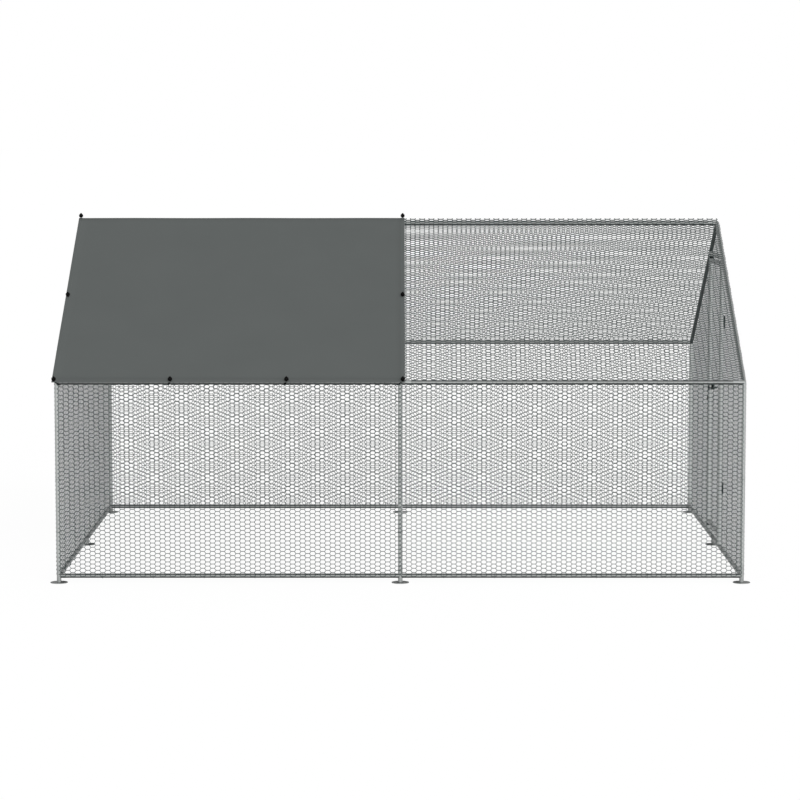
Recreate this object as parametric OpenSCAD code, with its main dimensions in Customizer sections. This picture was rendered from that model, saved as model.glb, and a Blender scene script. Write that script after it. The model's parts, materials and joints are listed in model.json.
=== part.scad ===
// Walk-in chicken run with a pitched roof: tube frame, hexagonal wire net, a gable door
// and a rain cover over the left bay. Millimetres, ground at z = 0, ridge along x.

/* [Frame] */
// Distance between the end posts, centre to centre
run_length = 3800; // [2400:100:6000]
// Distance between the front and back posts, centre to centre
run_depth = 2800; // [2000:100:4000]
// Height of the eave rail centre line
eave_height = 1120; // [900:10:1600]
// Height of the ridge rail centre line
ridge_height = 1947; // [1700:1:2600]
// Height of the base rail centre line
base_height = 39; // [30:1:80]

/* [Tube] */
// Outer diameter of every frame tube
tube_d = 25; // [19:1:32]
// Wall of the tube
tube_wall = 1; // [0.8:0.1:2]

/* [Fittings] */
// Length of a fitting arm that has the size of the tube
stub_length = 60; // [45:1:90]
// Length of the spigot that goes into the tube
spigot_length = 50; // [30:1:70]
// Radial gap between a spigot and the tube bore
spigot_gap = 0.2; // [0.1:0.05:0.5]
// Solid depth left at the centre of a fitting
core_depth = 20; // [18:1:30]
// Step in radius between the rail, rafter and post arms of a fitting
arm_step = 0.1; // [0.05:0.05:0.3]
// Height of a jamb saddle, from the tube that it sits on
saddle_length = 42; // [38:1:60]
// Solid depth of a jamb saddle, from the centre of the tube that it sits on
saddle_core = 32; // [30:1:50]
// Gap between the end of a tube and the fitting that it butts on
end_gap = 0.05; // [0.02:0.01:0.3]
// Gap at a coped joint
cope_gap = 0.2; // [0.1:0.05:0.5]

/* [Screws] */
// Shank diameter of the self-tapping screws
screw_d = 4; // [3:0.5:6]
// Shank length
screw_length = 5; // [3:0.5:10]
// Head diameter
screw_head_d = 7; // [5:0.5:10]
// Head height
screw_head_h = 2; // [1.5:0.5:4]
// Radial gap round the shank
screw_gap = 0.1; // [0.05:0.05:0.3]

/* [Feet] */
// Diameter of the foot plate
foot_d = 97; // [80:1:140]
// Thickness of the foot plate
foot_t = 3; // [2:0.5:6]
// Peg hole diameter
peg_hole_d = 9; // [6:0.5:12]
// Distance of the peg holes from the foot centre
peg_radius = 34; // [30:1:40]

/* [Door] */
// Distance between the jambs, centre to centre
jamb_spacing = 620; // [560:10:900]
// Distance of the door head below the points where the jambs meet the rafters
head_drop = 8.88; // [4:0.01:60]
// Gap between the door leaf and the frame round it
door_gap = 6; // [5:0.5:12]
// Height of the door bottom rail centre line
door_bottom = 105; // [90:1:200]
// Height of the stile end caps
cap_t = 12; // [2:0.5:20]
// Depth of the end cap plug in the stile
cap_plug = 12; // [6:1:20]

/* [Hinges] */
// Height of the lower hinge centre
hinge_low = 384; // [250:1:600]
// Height of the upper hinge centre
hinge_high = 1376; // [1000:1:1600]
// Length of each hinge
hinge_length = 70; // [50:1:120]
// Thickness of the hinge leaves
leaf_t = 2.5; // [2:0.5:4]
// Width of a leaf from the pin
leaf_w = 29; // [24:1:31]
// Outer diameter of the knuckles
knuckle_d = 10; // [9:0.5:14]
// Diameter of the hinge pin
pin_d = 5; // [4:0.5:6]
// Radial running gap on the pin
pin_gap = 0.05; // [0.02:0.01:0.1]
// Pin head diameter
pin_head_d = 8; // [7:0.5:10]
// Pin head height
pin_head_h = 2; // [1:0.5:4]
// Gap between knuckles, and between a knuckle and the other leaf
knuckle_gap = 0.6; // [0.4:0.1:1]

/* [Latch] */
// Height of the latch bolt
latch_height = 934; // [700:1:1200]
// Height of the guide and keeper blocks
latch_h = 32; // [24:1:50]
// Width of the guide and keeper blocks
latch_w = 26; // [22:1:30]
// Diameter of the bolt
bolt_d = 8; // [6:0.5:10]
// Wall between the bolt and the tube, and outside the bolt
latch_wall = 3; // [2:0.5:5]
// Radial running gap of the bolt in its guide
bolt_gap = 0.08; // [0.05:0.01:0.1]
// Gap of the bolt in the square socket of the keeper
keeper_gap = 0.4; // [0.3:0.1:1]
// Travel of the bolt
bolt_travel = 26; // [15:1:40]
// Length of the bolt behind its guide
bolt_tail = 50; // [45:1:80]
// Diameter of the inner grip
grip_d = 9; // [8:0.5:14]
// Distance of the inner grip inside the centre line of the door tubes
grip_reach = 14; // [5:0.5:40]
// Diameter of the arm that carries the inner grip
grip_arm_d = 7; // [5:0.5:7.5]
// Diameter of the outer knob
knob_d = 10; // [8.5:0.5:16]
// Length of the outer knob, from the bolt centre
knob_length = 16; // [10:1:25]
// Thickness of the door stop
stop_t = 4; // [2:0.5:6]
// Height of the door stop
stop_h = 24; // [15:1:40]
// Distance of the door stop below the bolt
stop_below = 70; // [40:1:200]
// Gap between the door stop and the tubes
stop_gap = 0.3; // [0.2:0.1:1]

/* [Net] */
// Thickness of the net
net_t = 2; // [1:0.5:4]
// Width of a strand, which stands for a band of thin wires
strand = 6; // [4:0.5:10]
// Width that a column of gaps aims for
gap_w = 350; // [300:10:600]
// Height that a row of gaps aims for
gap_h = 290; // [250:10:500]
// Gap between the net and the tubes
net_gap = 0.3; // [0.2:0.1:1]
// Distance of a net edge from a tube that elastic loops go round
net_edge = 22; // [18:1:40]
// Extra rise of the roof net where it is bent over the ridge
crest_rise = 10; // [5:1:20]
// Distance of the roof net edges from the crest
crest_gap = 14; // [10:1:30]
// Distance of the gable net edges from the hinge leaves on the jamb
jamb_clear = 6.5; // [3:0.5:20]
// Distance of the door net edges from the hinge leaves on the door
stile_clear = 3.5; // [3:0.5:20]
// Lap of the door net over the base rail and over the door head
door_lap = 6; // [4:0.5:10]
// Smallest height of a gap that is cut at an edge
least_gap = 30; // [20:1:60]

/* [Cover] */
// Thickness of the cover sheet
cover_t = 1.5; // [1:0.1:3]
// Overhang of the cover past the rafters of its bay
cover_side = 26; // [20:1:60]
// Overhang of the cover past the eave rail, down the slope
cover_drop = 24; // [20:1:60]
// Distance of the eyelets from the cover edge
eyelet_inset = 12; // [9:1:20]
// Eyelet bore
eyelet_bore = 9; // [7:0.5:12]
// Eyelet outer diameter
eyelet_d = 16; // [13:0.5:20]
// Eyelet thickness above the sheet
eyelet_t = 1.2; // [0.8:0.1:2]
// Gap between an eyelet and the sheet
eyelet_gap = 0.05; // [0.02:0.01:0.2]
// Eyelets along each eave
eave_eyelets = 4; // [3:1:8]

/* [Bungees] */
// Diameter of the balls
ball_d = 25; // [20:1:35]
// Diameter of the nub on a ball
nub_d = 9; // [6:0.5:12]
// Height of the nub above the ball
nub_h = 3; // [1:0.5:6]
// Depth of the cord hole in a ball
ball_hole = 8; // [5:0.5:12]
// Diameter of the elastic cord
cord_d = 3.5; // [3:0.1:4.5]
// Diameter of the cord pair where it enters the ball
neck_d = 4.4; // [4:0.1:6]
// Gap round the cords and under the balls
cord_gap = 0.3; // [0.2:0.05:0.5]
// Distance of an end loop from the fitting centre, along the rail
loop_shift = 20; // [18:1:30]
// Distance of the other eave loops from their eyelets, along the rail
loop_slant = 15; // [0:1:30]

/* [Hidden] */
$fn = 64;
cut = 1;

half_length = run_length / 2;
half_depth = run_depth / 2;
tube_r = tube_d / 2;
bore_r = tube_r - tube_wall;
spigot_r = bore_r - spigot_gap;
spigot_bore_r = spigot_r - tube_wall;
arm_length = stub_length + spigot_length;
screw_at = stub_length + spigot_length / 2;
screw_hole_r = screw_d / 2 + screw_gap;
ball_core_r = tube_r - cope_gap;
seat_r = tube_r + cope_gap;

rise = ridge_height - eave_height;
roof_length = norm([half_depth, rise]);
roof_cos = half_depth / roof_length;
roof_sin = rise / roof_length;

jamb_y = jamb_spacing / 2;
stile_y = jamb_y - tube_d - door_gap;
jamb_top = ridge_height - jamb_y * rise / half_depth;
head_height = jamb_top - head_drop;
stile_top = head_height - tube_r - door_gap - cap_t;
stile_foot = door_bottom - tube_r;
door_top = stile_top - tube_r;

hinge_x = half_length + tube_r + knuckle_d / 2;
hinge_y = -(jamb_y + stile_y) / 2;
knuckle_r = knuckle_d / 2;
mid_knuckle = hinge_length / 3;

bolt_x = half_length + tube_r + latch_wall + bolt_d / 2;
latch_out = tube_r + bolt_d + 2 * latch_wall;
latch_in = tube_r / 2;
guide_end = stile_y + latch_w / 2;
bolt_tip = guide_end - cut;
bolt_end = stile_y - latch_w / 2 - bolt_tail;
grip_y = bolt_end + grip_d / 2;
grip_x = half_length - grip_reach;

wall_out = tube_r + net_gap;
edge_fall = net_edge / roof_cos;
net_foot = base_height - strand / 2;
loop_r = tube_r + cord_gap + cord_d / 2;
neck_r = neck_d / 2;
neck_foot_r = tube_r + cord_gap + neck_r;
cover_out = tube_r + 2 * cord_gap + cord_d;
crest_out = wall_out + crest_rise;
cover_x0 = -half_length - cover_side;
cover_x1 = cover_side;
edge_x0 = cover_x0 + eyelet_inset;
edge_x1 = cover_x1 - eyelet_inset;
eyelet_down = eyelet_inset - cover_drop;

function unit(v) = v / norm(v);
function across(a, b) = a.x * b.y - a.y * b.x;

// Frame points: sx is -1 left, 0 middle, 1 right; sy is -1 front, 0 middle, 1 back.
function at(sx, sy, z) = [sx * half_length, sy * half_depth, z];
function up_slope(sy) = [0, -sy * roof_cos, roof_sin];
function roof_inward(sy) = [0, -sy * roof_sin, -roof_cos];
function inward(sx, sy) = unit([-sx, -sy, 0]);

// Lines of the roof net and of the cover on the front slope: start, direction, outward normal.
function roof_point(p, out) = p - out * roof_inward(-1);
net_start = roof_point(at(0, -1, eave_height), wall_out);
net_along = unit(roof_point(at(0, 0, ridge_height), crest_out) - net_start);
net_normal = [0, -net_along.z, net_along.y];
net_crest = -net_start.y / net_along.y;
cover_start = roof_point(at(0, -1, eave_height), cover_out);
cover_on_net = roof_point(at(0, 0, ridge_height), crest_out + net_t + net_gap);
cover_along = unit(cover_on_net - cover_start);
cover_normal = [0, -cover_along.z, cover_along.y];
cover_crest = -cover_start.y / cover_along.y;
cover_top_z = cover_start.z + cover_crest * cover_along.z + cover_t / cover_along.y;

// Puts its children at p with their x axis along x and their z axis along z.
module place(p, x, z) {
  y = cross(z, x);
  multmatrix([
    [x.x, y.x, z.x, p.x],
    [x.y, y.y, z.y, p.y],
    [x.z, y.z, z.z, p.z],
    [0, 0, 0, 1]
  ])
  children();
}

// A tube between the fittings at p and q, with a screw hole at each end on the given side.
module frame_tube(p, q, side, p_gap = stub_length, q_gap = stub_length) {
  span = norm(q - p);
  color("silver")
  place(p, side, unit(q - p))
  difference() {
    translate([0, 0, p_gap + end_gap])
    cylinder(h = span - p_gap - q_gap - 2 * end_gap, r = tube_r);
    translate([0, 0, p_gap - cut])
    cylinder(h = span - p_gap - q_gap + 2 * cut, r = bore_r);
    for (z = [p_gap + spigot_length / 2, span - q_gap - spigot_length / 2])
      translate([0, 0, z])
      rotate([0, 90, 0])
      cylinder(h = tube_d, r = screw_hole_r);
  }
}

// One arm of a fitting: a stub of the tube's size, then a spigot.
module arm(stub, core, r = tube_r) {
  cylinder(h = stub, r = r);
  translate([0, 0, core])
  cylinder(h = stub + spigot_length - core, r = spigot_r);
}

module arm_cuts(stub, core) {
  translate([0, 0, core])
  cylinder(h = stub + spigot_length, r = spigot_bore_r);
  translate([0, 0, stub + spigot_length / 2])
  rotate([0, 90, 0])
  cylinder(h = tube_r, r = screw_hole_r);
}

// Crossing arms differ a little in radius: rail arms are the thickest, post arms the thinnest.
function arm_steps(d) = d.x != 0 ? 0 : d.y != 0 ? 1 : 2;

// A fitting at p; each arm has its direction and the side of its screw. A middle fitting has
// one straight piece for its two rail arms, an end fitting a ball where its arms meet.
module fitting(p, arms, middle) {
  color("silver")
  difference() {
    union() {
      translate(p)
      if (middle)
        rotate([0, 90, 0]) {
          cylinder(h = 2 * stub_length, r = tube_r, center = true);
          cylinder(h = 2 * arm_length, r = spigot_r, center = true);
        }
      else
        sphere(r = ball_core_r);
      for (a = arms)
        if (!middle || a[0].x == 0)
          place(p, a[1], a[0])
          arm(stub_length, core_depth, tube_r - arm_steps(a[0]) * arm_step);
    }
    for (a = arms)
      place(p, a[1], a[0])
      arm_cuts(stub_length, core_depth);
  }
}

function eave_arms(sx, sy) = concat(
  [[[0, 0, -1], inward(sx, sy)], [up_slope(sy), roof_inward(sy)]],
  sx > -1 ? [[[-1, 0, 0], roof_inward(sy)]] : [],
  sx < 1 ? [[[1, 0, 0], roof_inward(sy)]] : []
);
function ridge_arms(sx) = concat(
  [for (sy = [-1, 1]) [-up_slope(sy), roof_inward(sy)]],
  sx > -1 ? [[[-1, 0, 0], [0, 0, -1]]] : [],
  sx < 1 ? [[[1, 0, 0], [0, 0, -1]]] : []
);
function foot_arms(sx, sy) = concat(
  sy != 0 ? [[[0, 0, 1], inward(sx, sy)]] : [],
  sy != 0 && sx > -1 ? [[[-1, 0, 0], [0, -sy, 0]]] : [],
  sy != 0 && sx < 1 ? [[[1, 0, 0], [0, -sy, 0]]] : [],
  sx != 0 && sy > -1 ? [[[0, -1, 0], [-sx, 0, 0]]] : [],
  sx != 0 && sy < 1 ? [[[0, 1, 0], [-sx, 0, 0]]] : []
);

// A foot's rail arms, thinner than the leg they run into.
function foot_arm_r(d) = tube_r - (d.x != 0 ? 1 : 2) * arm_step;

// A foot: plate with two peg holes on its outer side, a leg that carries the post where there
// is one, and the arms for the base rails.
module foot(sx, sy) {
  p = at(sx, sy, base_height);
  arms = foot_arms(sx, sy);
  color("silver")
  difference() {
    union() {
      translate(at(sx, sy, 0)) {
        cylinder(h = foot_t, d = foot_d);
        if (sy != 0) {
          cylinder(h = base_height + stub_length, r = tube_r);
          cylinder(h = base_height + arm_length, r = spigot_r);
        } else
          cylinder(h = base_height, r = tube_r - 3 * arm_step);
      }
      for (a = arms)
        if (a[0].z == 0)
          place(p, a[1], a[0])
          arm(stub_length, core_depth, foot_arm_r(a[0]));
    }
    for (a = arms)
      place(p, a[1], a[0])
      arm_cuts(stub_length, core_depth);
    for (turn = [-45, 45])
      place(at(sx, sy, 0), -inward(sx, sy), [0, 0, 1])
      rotate([0, 0, turn])
      translate([peg_radius, 0, -cut])
      cylinder(h = foot_t + 2 * cut, d = peg_hole_d);
  }
}

// Posts, rails and rafters.
module post(sx, sy) {
  frame_tube(at(sx, sy, base_height), at(sx, sy, eave_height), inward(sx, sy));
}
module eave_rail(sx, sy) {
  frame_tube(at(sx, sy, eave_height), at(0, sy, eave_height), roof_inward(sy));
}
module rafter(sx, sy) {
  frame_tube(at(sx, sy, eave_height), at(sx, 0, ridge_height), roof_inward(sy));
}
module ridge_rail(sx) {
  frame_tube(at(sx, 0, ridge_height), at(0, 0, ridge_height), [0, 0, -1]);
}
module wall_base_rail(sx, sy) {
  frame_tube(at(sx, sy, base_height), at(0, sy, base_height), [0, -sy, 0]);
}
module gable_base_rail(sx, sy) {
  frame_tube(at(sx, sy, base_height), at(sx, 0, base_height), [-sx, 0, 0]);
}

module front_left_post() { post(-1, -1); }
module front_middle_post() { post(0, -1); }
module front_right_post() { post(1, -1); }
module back_left_post() { post(-1, 1); }
module back_middle_post() { post(0, 1); }
module back_right_post() { post(1, 1); }
module front_left_eave_rail() { eave_rail(-1, -1); }
module front_right_eave_rail() { eave_rail(1, -1); }
module back_left_eave_rail() { eave_rail(-1, 1); }
module back_right_eave_rail() { eave_rail(1, 1); }
module left_ridge_rail() { ridge_rail(-1); }
module right_ridge_rail() { ridge_rail(1); }
module front_left_rafter() { rafter(-1, -1); }
module front_middle_rafter() { rafter(0, -1); }
module front_right_rafter() { rafter(1, -1); }
module back_left_rafter() { rafter(-1, 1); }
module back_middle_rafter() { rafter(0, 1); }
module back_right_rafter() { rafter(1, 1); }
module front_left_base_rail() { wall_base_rail(-1, -1); }
module front_right_base_rail() { wall_base_rail(1, -1); }
module back_left_base_rail() { wall_base_rail(-1, 1); }
module back_right_base_rail() { wall_base_rail(1, 1); }
module left_gable_front_rail() { gable_base_rail(-1, -1); }
module left_gable_back_rail() { gable_base_rail(-1, 1); }
module right_gable_front_rail() { gable_base_rail(1, -1); }
module right_gable_back_rail() { gable_base_rail(1, 1); }

// Feet and fittings.
module corner_feet() {
  for (sx = [-1, 1], sy = [-1, 1])
    foot(sx, sy);
}
module middle_feet() {
  for (sy = [-1, 1])
    foot(0, sy);
}
module gable_feet() {
  for (sx = [-1, 1])
    foot(sx, 0);
}
module eave_corner_fittings() {
  for (sx = [-1, 1], sy = [-1, 1])
    fitting(at(sx, sy, eave_height), eave_arms(sx, sy), false);
}
module eave_middle_fittings() {
  for (sy = [-1, 1])
    fitting(at(0, sy, eave_height), eave_arms(0, sy), true);
}
module ridge_end_fittings() {
  for (sx = [-1, 1])
    fitting(at(sx, 0, ridge_height), ridge_arms(sx), false);
}
module ridge_middle_fitting() {
  fitting(at(0, 0, ridge_height), ridge_arms(0), true);
}

// Door jambs, saddles and head.
function jamb_low(sy) = [half_length, sy * jamb_y, base_height];
function jamb_high(sy) = [half_length, sy * jamb_y, jamb_top];

module jamb(sy) {
  frame_tube(jamb_low(sy), jamb_high(sy), [-1, 0, 0], saddle_length, saddle_length);
}
module front_door_jamb() { jamb(-1); }
module back_door_jamb() { jamb(1); }

module saddle(p, up, rail) {
  color("silver")
  difference() {
    place(p, [-1, 0, 0], [0, 0, up])
    arm(saddle_length, saddle_core);
    place(p, [-1, 0, 0], [0, 0, up])
    arm_cuts(saddle_length, saddle_core);
    place(p, [-1, 0, 0], rail)
    cylinder(h = 2 * arm_length, r = seat_r, center = true);
  }
}
module jamb_saddles() {
  for (sy = [-1, 1]) {
    saddle(jamb_low(sy), 1, [0, 1, 0]);
    saddle(jamb_high(sy), -1, up_slope(sy));
  }
}
module door_head() {
  color("silver")
  difference() {
    translate([half_length, 0, head_height])
    rotate([90, 0, 0])
    cylinder(h = jamb_spacing, r = tube_r, center = true);
    translate([half_length, 0, head_height])
    rotate([90, 0, 0])
    cylinder(h = jamb_spacing + 2 * cut, r = bore_r, center = true);
    for (sy = [-1, 1]) {
      translate([half_length, sy * jamb_y, head_height])
      cylinder(h = 2 * arm_length, r = seat_r, center = true);
      place(jamb_high(sy), [-1, 0, 0], up_slope(sy))
      cylinder(h = 2 * arm_length, r = seat_r, center = true);
    }
  }
}

// Screws that hold the tubes on the spigots.
module screw(p, along, side, z) {
  place(p, side, along)
  translate([tube_r, 0, z])
  rotate([0, 90, 0]) {
    cylinder(h = screw_head_h, d = screw_head_d);
    translate([0, 0, -screw_length])
    cylinder(h = screw_length + screw_head_h, d = screw_d);
  }
}
module screws(p, arms) {
  for (a = arms)
    screw(p, a[0], a[1], screw_at);
}
module frame_screws() {
  color("gainsboro") {
    for (sx = [-1, 0, 1]) {
      screws(at(sx, 0, ridge_height), ridge_arms(sx));
      for (sy = [-1, 1]) {
        screws(at(sx, sy, eave_height), eave_arms(sx, sy));
        screws(at(sx, sy, base_height), foot_arms(sx, sy));
      }
    }
    for (sx = [-1, 1])
      screws(at(sx, 0, base_height), foot_arms(sx, 0));
    for (sy = [-1, 1]) {
      screw(jamb_low(sy), [0, 0, 1], [-1, 0, 0], saddle_length + spigot_length / 2);
      screw(jamb_high(sy), [0, 0, -1], [-1, 0, 0], saddle_length + spigot_length / 2);
    }
  }
}

// Door leaf.
module stile(sy) {
  color("silver")
  translate([half_length, sy * stile_y, stile_foot])
  difference() {
    cylinder(h = stile_top - stile_foot, r = tube_r);
    translate([0, 0, -cut])
    cylinder(h = stile_top - stile_foot + 2 * cut, r = bore_r);
  }
}
module door_hinge_stile() { stile(-1); }
module door_latch_stile() { stile(1); }

module door_rails() {
  color("silver")
  for (z = [door_bottom, door_top])
    difference() {
      translate([half_length, 0, z])
      rotate([90, 0, 0])
      cylinder(h = 2 * stile_y, r = tube_r, center = true);
      translate([half_length, 0, z])
      rotate([90, 0, 0])
      cylinder(h = 2 * stile_y + 2 * cut, r = bore_r, center = true);
      for (sy = [-1, 1])
        translate([half_length, sy * stile_y, z])
        cylinder(h = 2 * tube_d, r = seat_r, center = true);
    }
}
module door_end_caps() {
  color("black")
  for (sy = [-1, 1])
    translate([half_length, sy * stile_y, 0]) {
      translate([0, 0, stile_top])
      cylinder(h = cap_t, r = tube_r);
      translate([0, 0, stile_top - cap_plug])
      cylinder(h = cap_plug + cap_t, r = spigot_r);
      translate([0, 0, stile_foot - cap_t])
      cylinder(h = cap_t, r = tube_r);
      translate([0, 0, stile_foot - cap_t])
      cylinder(h = cap_plug + cap_t, r = spigot_r);
    }
}

// Hinges: the jamb leaf has the two end knuckles, the door leaf the middle one.
module knuckle(z0, z1) {
  translate([0, 0, z0])
  cylinder(h = z1 - z0, r = knuckle_r);
}
module leaf_part(z0, z1, y0, y1) {
  translate([-knuckle_r, y0, z0])
  cube([leaf_t, y1 - y0, z1 - z0]);
}
module pin_bore() {
  cylinder(h = 2 * hinge_length, r = pin_d / 2 + pin_gap, center = true);
}
module at_hinges() {
  for (z = [hinge_low, hinge_high])
    translate([hinge_x, hinge_y, z])
    children();
}
half_hinge = hinge_length / 2;
half_mid = mid_knuckle / 2;
leaf_start = knuckle_r + knuckle_gap;

module hinge_jamb_leaves() {
  color("dimgray")
  at_hinges()
  difference() {
    union() {
      leaf_part(-half_hinge, half_hinge, -leaf_w, -leaf_start);
      for (s = [-1, 1]) {
        z0 = min(s * half_hinge, s * (half_mid + knuckle_gap));
        z1 = max(s * half_hinge, s * (half_mid + knuckle_gap));
        leaf_part(z0, z1, -leaf_w, 0);
        knuckle(z0, z1);
      }
    }
    pin_bore();
  }
}
module hinge_door_leaves() {
  color("dimgray")
  at_hinges()
  difference() {
    union() {
      leaf_part(-half_hinge, half_hinge, leaf_start, leaf_w);
      leaf_part(-half_mid, half_mid, 0, leaf_w);
      knuckle(-half_mid, half_mid);
    }
    pin_bore();
  }
}
module hinge_pins() {
  color("gray")
  at_hinges() {
    translate([0, 0, -half_hinge])
    cylinder(h = hinge_length + pin_head_h, d = pin_d);
    translate([0, 0, half_hinge])
    cylinder(h = pin_head_h, d = pin_head_d);
  }
}

// Latch: a guide on the latch stile, a sliding bolt with grips on both sides, a keeper on the jamb.
module latch_block(y) {
  difference() {
    translate([half_length + latch_in, y - latch_w / 2, latch_height - latch_h / 2])
    cube([latch_out - latch_in, latch_w, latch_h]);
    translate([half_length, y, latch_height])
    cylinder(h = 2 * latch_h, r = seat_r, center = true);
  }
}
module along_bolt(y0, y1, r) {
  translate([bolt_x, y0, latch_height])
  rotate([-90, 0, 0])
  cylinder(h = y1 - y0, r = r);
}
module latch_guide() {
  color("black")
  difference() {
    latch_block(stile_y);
    along_bolt(stile_y - latch_w, stile_y + latch_w, bolt_d / 2 + bolt_gap);
  }
}
module latch_keeper() {
  socket = bolt_d + 2 * keeper_gap;
  color("black")
  difference() {
    latch_block(jamb_y);
    translate([bolt_x, jamb_y, latch_height])
    cube([socket, 2 * latch_w, socket], center = true);
  }
}
module latch_bolt() {
  color("black") {
    along_bolt(bolt_end, bolt_tip, bolt_d / 2);
    translate([grip_x, grip_y, latch_height])
    rotate([0, 90, 0])
    cylinder(h = bolt_x - grip_x, d = grip_arm_d);
    translate([grip_x, grip_y, latch_height - latch_h / 2])
    cylinder(h = latch_h, d = grip_d);
    translate([bolt_x, grip_y, latch_height])
    rotate([0, 90, 0])
    cylinder(h = knob_length, d = knob_d);
  }
}
module door_stop() {
  color("dimgray")
  translate([
    half_length - tube_r - stop_gap - stop_t,
    stile_y - tube_r / 2,
    latch_height - stop_below - stop_h / 2
  ])
  cube([stop_t, jamb_y - stile_y + tube_r, stop_h]);
}

// Nets: a convex outline with a strand along its edge and hexagonal gaps inside.
function side_normal(a, b) = unit([a.y - b.y, b.x - a.x]);
function meet(p, d, q, e) = p + d * across(q - p, e) / across(d, e);
function inset(pts, w) = [
  for (i = [0 : len(pts) - 1])
    let (
      a = pts[(i + len(pts) - 1) % len(pts)],
      b = pts[i],
      c = pts[(i + 1) % len(pts)]
    )
    meet(b + w * side_normal(a, b), b - a, b + w * side_normal(b, c), c - b)
];
function reach(shape, a, b) = max([for (v = shape) (v - a) * side_normal(a, b)]);
function least_reach(shape, pts) = min([
  for (i = [0 : len(pts) - 1]) reach(shape, pts[i], pts[(i + 1) % len(pts)])
]);
function hexagon(c, w, h) = [
  c + [3 * w / 4, 0], c + [w / 4, h / 2], c + [-w / 4, h / 2],
  c + [-3 * w / 4, 0], c + [-w / 4, -h / 2], c + [w / 4, -h / 2]
];

module net_sheet(pts) {
  xs = [for (p = pts) p.x];
  ys = [for (p = pts) p.y];
  columns = max(1, round((max(xs) - min(xs)) / gap_w));
  rows = max(1, round((max(ys) - min(ys)) / gap_h));
  w = (max(xs) - min(xs)) / columns;
  h = (max(ys) - min(ys)) / rows;
  color("lightgray")
  linear_extrude(height = net_t)
  difference() {
    polygon(pts);
    intersection() {
      polygon(inset(pts, strand));
      for (i = [-1 : columns], j = [0 : rows]) {
        shift = (i + 2) % 2 == 0 ? h / 2 : 0;
        cell = hexagon([min(xs) + (i + 1 / 2) * w, min(ys) + j * h + shift], w, h);
        if (least_reach(cell, pts) > least_gap)
          polygon(inset(cell, strand / 2));
      }
    }
  }
}

wall_top = eave_height - net_edge;
wall_outline = [
  [-half_length, net_foot], [half_length, net_foot], [half_length, wall_top], [-half_length, wall_top]
];
module front_wall_net() {
  place(at(0, -1, 0) - [0, wall_out, 0], [1, 0, 0], [0, -1, 0])
  net_sheet(wall_outline);
}
module back_wall_net() {
  place(at(0, 1, 0) + [0, wall_out, 0], [-1, 0, 0], [0, 1, 0])
  net_sheet(wall_outline);
}

roof_side = half_length - net_edge;
roof_outline = [
  [-roof_side, net_edge], [roof_side, net_edge],
  [roof_side, net_crest - crest_gap], [-roof_side, net_crest - crest_gap]
];
module roof_net_sheet(x) {
  difference() {
    net_sheet(roof_outline);
    translate([x, roof_length / 2, 0])
    cylinder(h = 2 * tube_d, r = neck_r + 2 * cord_gap, center = true);
  }
}
module front_roof_net() {
  place(net_start, [1, 0, 0], net_normal)
  roof_net_sheet(edge_x1);
}
module back_roof_net() {
  mirror([0, 1, 0])
  front_roof_net();
}

slope = rise / half_depth;
function gable_top(y) = ridge_height - edge_fall - slope * abs(y);
gable_outline = [
  [-half_depth, net_foot], [half_depth, net_foot], [half_depth, gable_top(half_depth)],
  [0, gable_top(0)], [-half_depth, gable_top(half_depth)]
];
jamb_side = leaf_w + jamb_clear - hinge_y;
door_side_outline = [
  [jamb_side, net_foot], [half_depth, net_foot],
  [half_depth, gable_top(half_depth)], [jamb_side, gable_top(jamb_side)]
];
over_door = (gable_top(0) - head_height) / slope;
over_door_outline = [[-over_door, head_height], [over_door, head_height], [0, gable_top(0)]];

module left_gable_net() {
  place([-half_length - wall_out, 0, 0], [0, -1, 0], [-1, 0, 0])
  net_sheet(gable_outline);
}
module right_gable_net() {
  place([half_length + wall_out, 0, 0], [0, 1, 0], [1, 0, 0]) {
    net_sheet(door_side_outline);
    translate([0, 0, net_t])
    rotate([0, 180, 0])
    net_sheet(door_side_outline);
    net_sheet(over_door_outline);
  }
}
door_net_side = -hinge_y - leaf_w - stile_clear;
door_net_low = base_height + tube_r - door_lap;
door_net_high = head_height - tube_r + door_lap;
module door_net() {
  difference() {
    place([half_length + wall_out, 0, 0], [0, 1, 0], [1, 0, 0])
    net_sheet([
      [-door_net_side, door_net_low], [door_net_side, door_net_low],
      [door_net_side, door_net_high], [-door_net_side, door_net_high]
    ]);
    translate([half_length, grip_y - grip_d, latch_height - grip_d])
    cube([2 * tube_d, bolt_travel + 2 * grip_d, 2 * grip_d]);
  }
}

// Cover, its eyelets and the bungees. A seat is where a ball sits: x, distance up the slope.
function cover_point(v, up) = cover_start + v * cover_along + up * cover_normal;
function eave_x(i) = edge_x0 + i * (edge_x1 - edge_x0) / (eave_eyelets - 1);
slope_seats = concat(
  [for (i = [0 : eave_eyelets - 1]) [eave_x(i), eyelet_down]],
  [[edge_x0, roof_length / 2], [edge_x1, roof_length / 2]]
);
module at_slope_seat(s) {
  place(cover_point(s[1], cover_t) + [s[0], 0, 0], [1, 0, 0], cover_normal)
  children();
}
module at_seats() {
  for (s = slope_seats) {
    at_slope_seat(s)
    children();
    mirror([0, 1, 0])
    at_slope_seat(s)
    children();
  }
  for (x = [edge_x0, edge_x1])
    translate([x, 0, cover_top_z])
    children();
}
module cover() {
  low = cover_point(-cover_drop, 0);
  low_top = cover_point(-cover_drop, cover_t);
  crest_z = cover_top_z - cover_t / cover_along.y;
  color("dimgray")
  difference() {
    place([cover_x0, 0, 0], [0, 1, 0], [1, 0, 0])
    linear_extrude(height = cover_x1 - cover_x0)
    polygon([
      [low.y, low.z], [0, crest_z], [-low.y, low.z],
      [-low_top.y, low_top.z], [0, cover_top_z], [low_top.y, low_top.z]
    ]);
    at_seats()
    cylinder(h = tube_d, d = eyelet_bore, center = true);
  }
}
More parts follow.
